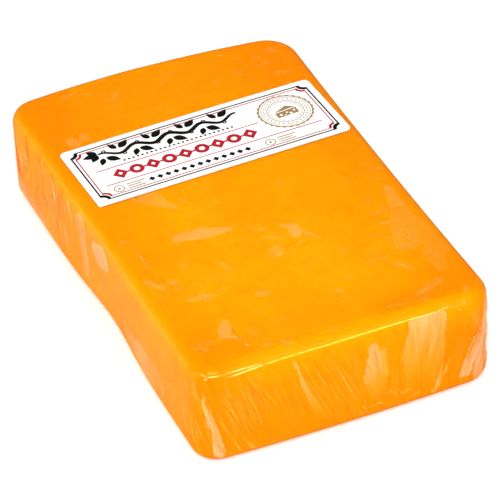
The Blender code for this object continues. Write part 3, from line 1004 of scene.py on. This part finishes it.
def side_path(start_run, high, low, slant=None):
    """Points and normals on the side of the film, from high to low along the flow map, in mm."""
    path = []
    run = start_run
    for step in range(CREASE_STEPS):
        level = high + (low - high) * step / (CREASE_STEPS - 1)
        path.append(side_spot(run, level))
        lean = np.interp(run, list(SLANT), list(SLANT.values())) if slant is None else slant
        run += lean * (high - low) / (CREASE_STEPS - 1)
    return path if all(path) else None


def fold_path(start, end):
    """Points and normals along a side, between two places: round the outline, and height, in mm."""
    path = [side_spot(*place) for place in np.linspace(start, end, CREASE_STEPS)]
    return path if all(path) else None


def top_path(start, end):
    """Points and normals on the top of the film, in a straight line between two places in mm."""
    path = []
    for step in range(CREASE_STEPS):
        share = step / (CREASE_STEPS - 1)
        spot = [a + (b - a) * share for a, b in zip(start, end)]
        origin = Vector((spot[0] * MM, spot[1] * MM, 0.06))
        hit, normal, _, _ = film_tree.ray_cast(origin, Vector((0, 0, -1)))
        if hit is None:
            return None
        path.append((hit, normal))
    return path


crease_points, crease_milk_and_painted_glint, crease_painted_shade = [], [], []
crease_spans = []


def span(path, half_width):
    """Where a crease lies on the flow map: its place, its half width, its lowest and highest point."""
    heights = [p[2] / MM for p, _ in path]
    middle = np.array([path[CREASE_STEPS // 2][0]])
    return crease_origin(middle)[0] / MM, half_width, min(heights), max(heights)


def is_free(path, half_width):
    """Whether a crease would lie beside the ones laid before and not across them."""
    place, wide, low, high = span(path, half_width)
    return not any(
        abs(place - other) < 0.9 * (wide + other_wide) and low < other_high and high > other_low
        for other, other_wide, other_low, other_high in crease_spans
    )


def lay_spindle(path, half_width, rise, pale, dark=0.0):
    """Bend a copy of the spindle along a path, half sunk, pale on its crown and with painted shade on one flank."""
    crease_spans.append(span(path, half_width))
    places = np.array([p for p, _ in path])
    ups = np.array([n for _, n in path])
    ahead = np.gradient(places, axis=0)
    across = np.cross(ahead, ups)
    across /= np.linalg.norm(across, axis=1)[:, None]
    ring = SPINDLE[:, 2] * (CREASE_STEPS - 1)
    first = np.minimum(ring.astype(int), CREASE_STEPS - 2)
    share = (ring - first)[:, None]
    at = places[first] * (1 - share) + places[first + 1] * share
    swell = np.sin(pi * np.clip(SPINDLE[:, 2], 0.02, 0.98))[:, None] ** 0.7
    points = at + across[first] * SPINDLE[:, :1] * swell * half_width * MM
    points = points + ups[first] * SPINDLE[:, 1:2] * swell * rise * MM
    crease_points.append(points)
    # The crown's pale share is partly milky film and partly a painted glint.
    crown = np.clip(SPINDLE[:, 1] + 0.3, 0, 1) * swell[:, 0]
    # The flank's dark share is painted shade.
    flank = np.clip(SPINDLE[:, 0], 0, 1)
    crease_milk_and_painted_glint.append(pale * crown * (1 - flank if dark else 1))
    crease_painted_shade.append(dark * crown * flank)


# %% Creases that show
# On the sides: place round the outline, height at the top and at the bottom, slant, half width,
# how pale its crown and how dark the painted shade on its flank
NAMED_PLEATS = [
    (-37.0, 30.6, 15.3, 0.44, 0.36, 0.15, 0.10), (-33.5, 30.6, 14.1, 0.46, 0.55, 0.12, 0.10),
    (-35.4, 20.1, 10.5, 0.31, 0.30, 0.10, 0.0), (-29.0, 28.0, 21.5, 0.45, 0.34, 0.12, 0.10),
    (-27.0, 31.3, 8.0, 0.27, 0.34, 0.12, 0.08), (-22.3, 23.8, 11.1, 0.34, 0.34, 0.13, 0.08),
    (-21.0, 25.0, 21.3, 0.0, 0.26, 0.10, 0.0), (-20.4, 33.2, 11.0, 0.36, 0.26, 0.20, 0.12),
    (-18.4, 29.0, 10.0, 0.48, 0.30, 0.10, 0.0), (-6.1, 28.1, 11.0, 0.39, 0.40, 0.16, 0.08),
    (-1.8, 23.2, 9.1, 0.39, 0.34, 0.13, 0.06), (36.9, 17.6, 6.5, -0.49, 0.34, 0.18, 0.10),
    (34.6, 18.6, 3.4, -0.33, 0.42, 0.14, 0.12), (35.4, 35.5, 14.0, -0.09, 0.24, 0.16, 0.14),
    (30.2, 29.5, 16.0, -0.33, 0.34, 0.0, 0.22), (32.1, 34.5, 28.5, 0.0, 0.40, 0.0, 0.20),
    (31.2, 29.0, 17.0, -0.33, 0.30, 0.16, 0.0), (41.8, 34.4, 22.0, -0.03, 0.24, 0.10, 0.08),
    (41.4, 22.5, 6.0, -0.21, 0.26, 0.14, 0.10), (14.4, 24.0, 8.0, 0.0, 0.22, 0.12, 0.08),
    (16.4, 22.0, 7.5, -0.05, 0.24, 0.12, 0.08), (50.0, 31.0, 8.0, -0.44, 0.30, 0.22, 0.12),
    (49.0, 27.0, 7.5, -0.53, 0.26, 0.22, 0.12), (49.6, 27.5, 6.0, -0.34, 0.28, 0.24, 0.14),
    (50.4, 29.0, 5.0, -0.2, 0.26, 0.22, 0.12), (51.6, 33.0, 12.0, -0.1, 0.28, 0.2, 0.1),
    (-52.4, 31.0, 5.0, 0.16, 0.24, 0.26, 0.14), (-50.6, 24.0, 4.4, 0.2, 0.22, 0.16, 0.10),
    (-55.0, 33.2, 24.0, 0.16, 0.20, 0.20, 0.10), (-58.0, 34.0, 20.0, 0.0, 0.24, 0.16, 0.08),
    (-57.6, 22.0, 8.0, 0.1, 0.26, 0.16, 0.08), (-56.6, 22.0, 9.0, 0.2, 0.24, 0.14, 0.08),
]
# On the top: start, end, half width, how pale and how dark the painted shade on one flank
TOP_PLEATS = [
    ((-46.8, -14.4), (-46.6, -30.0), 0.26, 0.18, 0.0), ((-34.4, -69.6), (-33.9, -74.9), 0.30, 0.04, 0.9),
    ((-33.9, -75.4), (-33.8, -80.2), 0.26, 0.10, 0.95), ((-33.9, -80.4), (-32.5, -81.4), 0.34, 0.40, 0.0),
    ((-40.4, -73.9), (-35.4, -75.4), 0.26, 0.16, 0.10),
    ((8.2, -31.0), (12.6, -39.0), 0.30, 0.14, 0.06), ((-35.6, 14.0), (-34.6, 10.4), 0.24, 0.0, 0.95),
    ((-27.6, 4.0), (-26.2, 1.6), 0.24, 0.20, 0.25), ((-25.8, 1.2), (-24.2, -1.2), 0.26, 0.35, 0.30),
    ((36.0, -46.0), (43.0, -58.0), 0.30, 0.12, 0.06),
    ((38.4, -44.5), (45.6, -52.5), 0.26, 0.12, 0.06), ((34.0, -52.0), (40.5, -60.0), 0.24, 0.12, 0.08),
    ((41.0, -60.5), (44.6, -68.0), 0.26, 0.12, 0.06), ((45.4, -36.0), (47.0, -48.0), 0.24, 0.12, 0.06),
    ((27.5, -82.0), (37.0, -78.8), 0.26, 0.12, 0.0), ((29.4, -62.9), (33.0, -67.5), 0.26, 0.14, 0.10),
    ((-30.5, -16.8), (-13.0, -19.8), 0.20, 0.12, 0.0), ((-38.6, -50.4), (-31.4, -52.0), 0.22, 0.16, 0.0),
    ((9.0, -61.9), (14.4, -62.9), 0.24, 0.10, 0.0), ((-49.3, -9.0), (-48.6, -12.0), 0.26, 0.16, 0.10),
    ((-44.0, 31.0), (-39.0, 21.6), 0.22, 0.10, 0.0),
]
# Folds and specks along the front rim, where the film doubles, their pale crowns painted highlights:
# place round the outline and height at the start and at the end, half width, how pale and how dark
# the painted shade on one flank
RIM_FOLDS_AND_PAINTED_GLINTS = [
    ((-45.8, 35.3), (-30.0, 35.95), 0.34, 0.95, 0.3), ((-51.6, 36.45), (-45.5, 36.65), 0.32, 0.75, 0.0),
    ((-46.5, 36.65), (-31.0, 36.6), 0.34, 0.6, 0.0), ((-53.6, 37.2), (-50.9, 36.5), 0.3, 0.4, 0.0),
    ((-52.0, 35.6), (-50.2, 35.9), 0.4, 0.8, 0.2), ((32.5, 36.3), (38.0, 36.35), 0.3, 0.6, 0.2),
    ((41.8, 36.3), (42.5, 36.3), 0.4, 0.8, 0.0), ((41.6, 35.5), (42.1, 35.5), 0.3, 0.6, 0.0),
    ((39.3, 34.6), (40.4, 34.4), 0.5, 0.4, 0.0),
]
for start, end, wide, pale, dark in RIM_FOLDS_AND_PAINTED_GLINTS:
    path = fold_path(start, end)
    if path:
        lay_spindle(path, wide, 0.09, pale, dark)
for start_run, high, low, slant, wide, pale, dark in NAMED_PLEATS:
    path = side_path(start_run, high, low, slant)
    if path:
        lay_spindle(path, wide, 0.10, pale, dark)
for start, end, wide, pale, dark in TOP_PLEATS:
    path = top_path(start, end)
    if path:
        lay_spindle(path, wide, 0.09, pale, dark)

# %% Creases drawn with a seed
# Place round the outline from and to, how many, half width, how pale, how dark the painted shade
# on the flank is for that
PLEAT_CROWDS = [
    (-66, -54, 16, (0.14, 0.26), (0.08, 0.2), 0.8), (-50, -36, 50, (0.12, 0.24), (0.10, 0.30), 0.4),
    (-38, 0, 32, (0.12, 0.24), (0.10, 0.26), 0.4), (0, 36, 10, (0.12, 0.22), (0.04, 0.12), 0.8),
    (36, 47, 10, (0.14, 0.26), (0.05, 0.14), 0.8), (46, 66, 24, (0.14, 0.30), (0.08, 0.2), 0.8),
    (66, 100, 12, (0.14, 0.30), (0.08, 0.2), 0.8), (100, 205, 26, (0.14, 0.32), (0.08, 0.22), 0.8),
    (205, 240, 26, (0.16, 0.34), (0.08, 0.22), 0.8), (240, 270, 8, (0.14, 0.30), (0.08, 0.22), 0.8),
    (-268, -240, 8, (0.14, 0.30), (0.08, 0.22), 0.8), (-240, -205, 26, (0.16, 0.34), (0.08, 0.22), 0.8),
    (-222, -160, 60, (0.18, 0.36), (0.10, 0.26), 2.2), (-150, -70, 16, (0.14, 0.26), (0.06, 0.16), 1.5),
]
draw = random.Random(23)
for first, last, count, widths, pales, darker in PLEAT_CROWDS:
    for _ in range(count):
        start_run = draw.uniform(first, last)
        high = draw.uniform(20, 34)
        low = max(3.0, high - draw.uniform(6, 22))
        wide, pale = draw.uniform(*widths), draw.uniform(*pales)
        rise = draw.uniform(0.06, 0.12)
        path = side_path(start_run, high, low)
        if path and is_free(path, wide):
            lay_spindle(path, wide, rise, pale, darker * pale)

# Short crinkles near the foot of the front, with painted glints on their crowns and painted shade on
# one flank: place along it, height, how many
for middle, level, count in (
    (9.2, 7.4, 7), (13.2, 9.8, 7), (16.5, 9.0, 7), (20.0, 8.6, 6), (24.0, 5.6, 5), (3.9, 6.5, 4), (-8.0, 8.0, 3),
):
    for _ in range(count):
        start_run, high = draw.gauss(middle, 1.2), draw.gauss(level, 0.5)
        path = side_path(start_run, high, high - draw.uniform(0.4, 1.2), draw.uniform(-2.5, 2.5))
        if path:
            lay_spindle(path, draw.uniform(0.18, 0.32), 0.08, draw.uniform(0.3, 0.65), 0.3)
# Specks along the left rim: painted glints, with a little painted shade on one flank
for _ in range(22):
    start_run, high = -draw.uniform(72, 200), draw.uniform(34.5, 37.2)
    path = side_path(start_run, high, high - draw.uniform(0.3, 0.9), draw.uniform(-2, 2))
    if path:
        lay_spindle(path, draw.uniform(0.14, 0.28), 0.08, draw.uniform(0.1, 0.3), 0.1)
print("creases laid:", len(crease_points))

# %% Join the creases
bm = bmesh.new()
for _ in crease_points:
    bm.from_mesh(spindle_mesh)
crease_mesh = bpy.data.meshes.new("film_creases")
bm.to_mesh(crease_mesh)
bm.free()
set_vertices(crease_mesh, np.concatenate(crease_points))
add_field(crease_mesh, "pale", np.concatenate(crease_milk_and_painted_glint))
add_field(crease_mesh, "dark", np.concatenate(crease_painted_shade))
crease_places = np.concatenate(crease_points) / MM
add_field(crease_mesh, "warm", smooth(crease_places[:, 1], -79, -83) * smooth(crease_places[:, 0], 48, 43))
bm = bmesh.new()
bm.from_mesh(crease_mesh)
bmesh.ops.recalc_face_normals(bm, faces=bm.faces)
bm.to_mesh(crease_mesh)
bm.free()
crease_mesh.shade_smooth()
print("crease triangles:", sum(len(p.vertices) - 2 for p in crease_mesh.polygons))

# %% Pleated film material
# Two layers of the same film, seen edge on: mostly clear, pale on the crown, partly as milky film and
# partly as a painted glint, yellower on the front, and with painted shade on one flank, a brown tint.
pleated, tree, output = new_material("polyethylene_shrink_film_pleated")
pale = add_node(tree, "Attribute", attribute_name="pale").outputs["Fac"]
dark = add_node(tree, "Attribute", attribute_name="dark").outputs["Fac"]
place = add_node(tree, "TexCoord").outputs["Object"]
break_up = add_node(tree, "TexNoise", {"Vector": place, "Scale": 1 / (3 * MM), "Detail": 2.0})
break_up = add_node(tree, "MapRange", {0: break_up.outputs["Fac"], 1: 0.35, 2: 0.6, 3: 0.5, 4: 1.3})
share = add_node(tree, "Math", {0: pale, 1: break_up.outputs[0]}, operation="MULTIPLY", use_clamp=True)
# Painted shade: the dark share tints one flank brown.
painted_flank_shade_tint = add_node(tree, "Mix", {0: dark, 6: linear("FFFFFF"), 7: linear("A04A10")}, data_type="RGBA")
clear = add_node(tree, "BsdfTransparent", {"Color": painted_flank_shade_tint.outputs[2]})
warm = add_node(tree, "Attribute", attribute_name="warm").outputs["Fac"]
# Painted glint: the crowns are yellower on the front.
crown_colour = add_node(tree, "Mix", {0: warm, 6: linear("FFEDB4"), 7: linear("FFF160")}, data_type="RGBA")
crown = add_node(
    tree, "BsdfPrincipled", {"Base Color": crown_colour.outputs[2], "Roughness": 0.2, "IOR": 1.5}
)
pleat_shader = add_node(tree, "MixShader", {0: share.outputs[0], 1: clear.outputs[0], 2: crown.outputs[0]})
tree.links.new(pleat_shader.outputs[0], output.inputs["Surface"])
add_piece("film_creases", crease_mesh, pleated)

# %% [markdown]
# ## The print on the label
# The label is printed in three flat inks. It carries a plain design of its own: a black frame with
# notched corners and a thin red one inside it, a black vine, a row of red diamonds and discs, a
# tan rosette with a wedge of cheese, and small tan marks. Each ink is a very thin solid, filled
# from flat outlines and laid on the paper, so the design is real geometry and not a texture.
# Places are in millimetres from the middle of the label.

# %% Outlines of simple shapes
def disc(u, v, radius, points=28):
    return [(u + radius * cos(2 * pi * i / points), v + radius * sin(2 * pi * i / points)) for i in range(points)]


def ring(u, v, outer, inner, points=64):
    return [disc(u, v, outer, points), disc(u, v, inner, points)]


def diamond(u, v, half_width, half_height):
    return [(u - half_width, v), (u, v - half_height), (u + half_width, v), (u, v + half_height)]


def stroke(path, half_widths):
    """The outline of a line of changing width along a path of points."""
    path = np.array(path, dtype=float)
    ahead = np.gradient(path, axis=0)
    across = np.stack([-ahead[:, 1], ahead[:, 0]], axis=1) / np.linalg.norm(ahead, axis=1)[:, None]
    wide = np.array(half_widths)[:, None]
    return [tuple(p) for p in np.concatenate([path + across * wide, (path - across * wide)[::-1]])]


def bar(start, end, width, step=2.0):
    """A straight line of even width, cut every two millimetres so that it can follow the paper."""
    start, end = np.array(start, dtype=float), np.array(end, dtype=float)
    count = max(2, int(np.linalg.norm(end - start) / step) + 1)
    path = [start + (end - start) * i / (count - 1) for i in range(count)]
    return stroke(path, [width / 2] * count)


def leaf(u, v, angle, length, width, points=9):
    """A pointed leaf that starts at a place and grows at an angle."""
    turn = radians(angle)
    side = [(length * i / points, width / 2 * sin(pi * (i / points) ** 0.8)) for i in range(points + 1)]
    shape = side + [(a, -b) for a, b in side[-2:0:-1]]
    return [(u + a * cos(turn) - b * sin(turn), v + a * sin(turn) + b * cos(turn)) for a, b in shape]


def notched_frame(inset, notch, width):
    """Two outlines, one inside the other, of a frame whose corners are cut by quarter circles."""
    outlines = []
    for extra in (0.0, width):
        half_u, half_v = LABEL_SIZE[0] / 2 - inset - extra, LABEL_SIZE[1] / 2 - inset - extra
        bite = notch + extra
        outline = []
        for side_u, side_v, first in ((1, 1, -90), (-1, 1, 0), (-1, -1, 90), (1, -1, 180)):
            for step in range(9):
                turn = radians(first - 90 * step / 8)
                outline.append((side_u * half_u + bite * cos(turn), side_v * half_v + bite * sin(turn)))
            end_u, end_v = outline[-1]
            along_u = abs(abs(end_v) - half_v) < 0.01
            reach = 2 * (half_u if along_u else half_v) - 2 * bite
            steps = int(reach / 2)
            for step in range(1, steps):
                moved = reach * step / steps
                if along_u:
                    outline.append((end_u - side_v * moved, end_v))
                else:
                    outline.append((end_u, end_v + side_u * moved))
        outlines.append(outline)
    return outlines


# %% Lay an ink on the paper
LABEL_SIZE = (98.2, 36.5)
LABEL_TURN = radians(2.0)
INK_THICKNESS = 0.03
INK_CELL = 2.5
INK_LIFT = 0.04
label_middle = (label_low + label_high) / 2
paper_tree = BVHTree.FromPolygons(
    [v.co.copy() for v in label.data.vertices], [tuple(p.vertices) for p in label.data.polygons]
)


def printed(name, groups, material):
    """Fill each group of outlines, thicken it, bend it onto the paper, and join the groups."""
    bm = bmesh.new()
    for outlines in groups:
        curve = bpy.data.curves.new(name, "CURVE")
        curve.dimensions = "2D"
        curve.fill_mode = "BOTH"
        curve.extrude = INK_THICKNESS / 2
        for outline in outlines:
            spline = curve.splines.new("POLY")
            spline.points.add(len(outline) - 1)
            spline.use_cyclic_u = True
            for point, (u, v) in zip(spline.points, outline):
                point.co = (u, v, 0.0, 1.0)
        flat = bpy.data.objects.new(name, curve)
        part = bpy.data.meshes.new_from_object(flat)
        bm.from_mesh(part)
        bpy.data.objects.remove(flat)
    bmesh.ops.remove_doubles(bm, verts=bm.verts, dist=0.0005)
    for _ in range(7):
        too_long = [e for e in bm.edges if e.calc_length() > INK_CELL]
        if too_long:
            bmesh.ops.subdivide_edges(bm, edges=too_long, cuts=1)
    bmesh.ops.triangulate(bm, faces=bm.faces)
    bmesh.ops.recalc_face_normals(bm, faces=bm.faces)
    for vert in bm.verts:
        u, v, w = vert.co
        x = label_middle[0] + (u * cos(LABEL_TURN) - v * sin(LABEL_TURN)) * MM
        y = label_middle[1] + (u * sin(LABEL_TURN) + v * cos(LABEL_TURN)) * MM
        hit = paper_tree.ray_cast(Vector((x, y, 0.06)), Vector((0, 0, -1)))[0]
        vert.co = (x, y, hit.z + (INK_LIFT + INK_THICKNESS / 2 + w) * MM)
    mesh = bpy.data.meshes.new(name)
    bm.to_mesh(mesh)
    bm.free()
    print(name, "triangles:", sum(len(p.vertices) - 2 for p in mesh.polygons))
    return add_piece(name, mesh, material)


# %% [markdown]
# ## The inks
# Offset inks lie in films of a few thousandths of a millimetre and soak in a little, so they look
# flat and slightly uneven, with less sheen than the coated paper round them.

# %% Ink materials
def offset_ink(name, colour, lighter):
    """A flat ink, faintly mottled at the scale of the paper's fibres."""
    ink, tree, output = new_material(name)
    place = add_node(tree, "TexCoord").outputs["Object"]
    mottle = add_node(tree, "TexNoise", {"Vector": place, "Scale": 1 / FIBRE_SIZE, "Detail": 3.0})
    tone = add_node(
        tree, "Mix", {0: mottle.outputs["Fac"], 6: linear(colour), 7: linear(lighter)}, data_type="RGBA"
    )
    film = add_node(tree, "BsdfPrincipled", {"Base Color": tone.outputs[2], "Roughness": 0.5, "Specular IOR Level": 0.2})
    tree.links.new(film.outputs[0], output.inputs["Surface"])
    return ink


# %% Black: frame, vine, beads and lozenges
VINE_MIDDLE, VINE_WAVE, VINE_LENGTH = 9.6, 1.5, 13.0
vine_u = np.linspace(-37.0, 17.0, 90)
vine_v = VINE_MIDDLE + VINE_WAVE * np.sin(2 * pi * vine_u / VINE_LENGTH)
vine_width = 0.3 + 0.6 * np.sin(pi * np.linspace(0.03, 0.97, 90)) ** 0.6
black = [
    notched_frame(2.4, 2.2, 0.6),
    [stroke(np.stack([vine_u, vine_v], axis=1), vine_width)],
]
for number in range(8):
    crest_u = -35.75 + VINE_LENGTH / 2 * number
    up = 1 if number % 2 else -1
    crest_v = VINE_MIDDLE + up * VINE_WAVE
    black.append([leaf(crest_u + 0.6, crest_v + up * 0.2, up * 38, 5.6, 3.0)])
    black.append([leaf(crest_u - 0.4, crest_v + up * 0.2, 180 - up * 62, 4.4, 2.3)])
    black.append([disc(crest_u + 1.2, crest_v - up * 3.6, 0.85), disc(crest_u + 1.2, crest_v - up * 3.6, 0.35)])
for angle, length in ((180, 5.6), (132, 4.6), (228, 4.6)):
    black.append([leaf(-37.4, vine_v[0], angle, length, 2.8)])
black.append([disc(-30.0 + 1.75 * i, 3.4, 0.48, 14) for i in range(25)])
black.append([diamond(-26.0 + 3.1 * i, -11.6, 1.2, 1.25) for i in range(13)])
black_ink = offset_ink("offset_ink_black", "0B0A0A", "171514")
printed("label_print_black", black, black_ink)

# %% Red: inner frame, rules, diamonds and discs
red = [
    notched_frame(3.8, 2.2, 0.42),
    [bar((-42.0, 1.3), (21.5, 1.3), 0.42)],
    [bar((-42.0, -8.2), (42.0, -8.2), 0.42)],
]
for number in range(9):
    mark_u = -34.5 + 6.3 * number
    if number % 2:
        red.append(ring(mark_u, -3.4, 2.7, 1.15, 40))
    else:
        red.append([diamond(mark_u, -3.4, 2.9, 3.1), diamond(mark_u, -3.4, 0.9, 1.0)])
    if number < 8:
        red.append([disc(mark_u + 3.15, -3.4, 0.5, 14)])
red_ink = offset_ink("offset_ink_red", "A60A20", "B3142A")
printed("label_print_red", red, red_ink)

# %% Tan: the rosette with a wedge of cheese, and small marks
ROSETTE = (33.2, 3.2)
SCALLOPS = 26
scalloped = []
for step in range(SCALLOPS * 8):
    turn = 2 * pi * step / (SCALLOPS * 8)
    reach = 9.9 + 0.55 * abs(sin(SCALLOPS * turn / 2))
    scalloped.append((ROSETTE[0] + reach * cos(turn), ROSETTE[1] + reach * sin(turn)))
tan_marks = [
    [scalloped, disc(*ROSETTE, 9.55, 96)],
    ring(*ROSETTE, 9.0, 8.78, 96),
    ring(*ROSETTE, 6.9, 6.62, 72),
]
for step in range(30):
    turn = 2 * pi * step / 30
    tan_marks.append([disc(ROSETTE[0] + 7.85 * cos(turn), ROSETTE[1] + 7.85 * sin(turn), 0.34, 12)])
for step in range(60):
    turn = 2 * pi * (step + 0.5) / 60
    inner = 5.3 if step % 2 else 5.7
    near = (ROSETTE[0] + inner * cos(turn), ROSETTE[1] + inner * sin(turn))
    far = (ROSETTE[0] + 6.3 * cos(turn), ROSETTE[1] + 6.3 * sin(turn))
    tan_marks.append([bar(near, far, 0.16)])
top_face = [(-4.1, 0.6), (1.2, 3.3), (4.3, 1.3)]
cut_face = [(-4.1, 0.1), (4.3, 0.8), (4.3, -2.5), (-4.1, -3.0)]
holes = [(-2.4, -1.5, 0.6), (0.2, -0.9, 0.45), (1.4, -1.9, 0.6), (3.1, -0.7, 0.5), (-0.9, -2.2, 0.35)]
tan_marks.append([[(ROSETTE[0] + a, ROSETTE[1] + b) for a, b in top_face]])
tan_marks.append(
    [[(ROSETTE[0] + a, ROSETTE[1] + b) for a, b in cut_face]]
    + [disc(ROSETTE[0] + a, ROSETTE[1] + b, radius, 18) for a, b, radius in holes]
)
for mark_u in (-38.6, 20.0):
    tan_marks.append(ring(mark_u, -11.7, 2.0, 1.6, 32))
    tan_marks.append([disc(mark_u, -11.7, 0.55, 16)])
    for row, reach in enumerate((7.0, 5.4, 6.4)):
        start = (mark_u + 3.2, -10.4 - 1.3 * row)
        tan_marks.append([bar(start, (start[0] + reach, start[1]), 0.5)])
tan_ink = offset_ink("offset_ink_tan", "94754A", "A28356")
printed("label_print_tan", tan_marks, tan_ink)
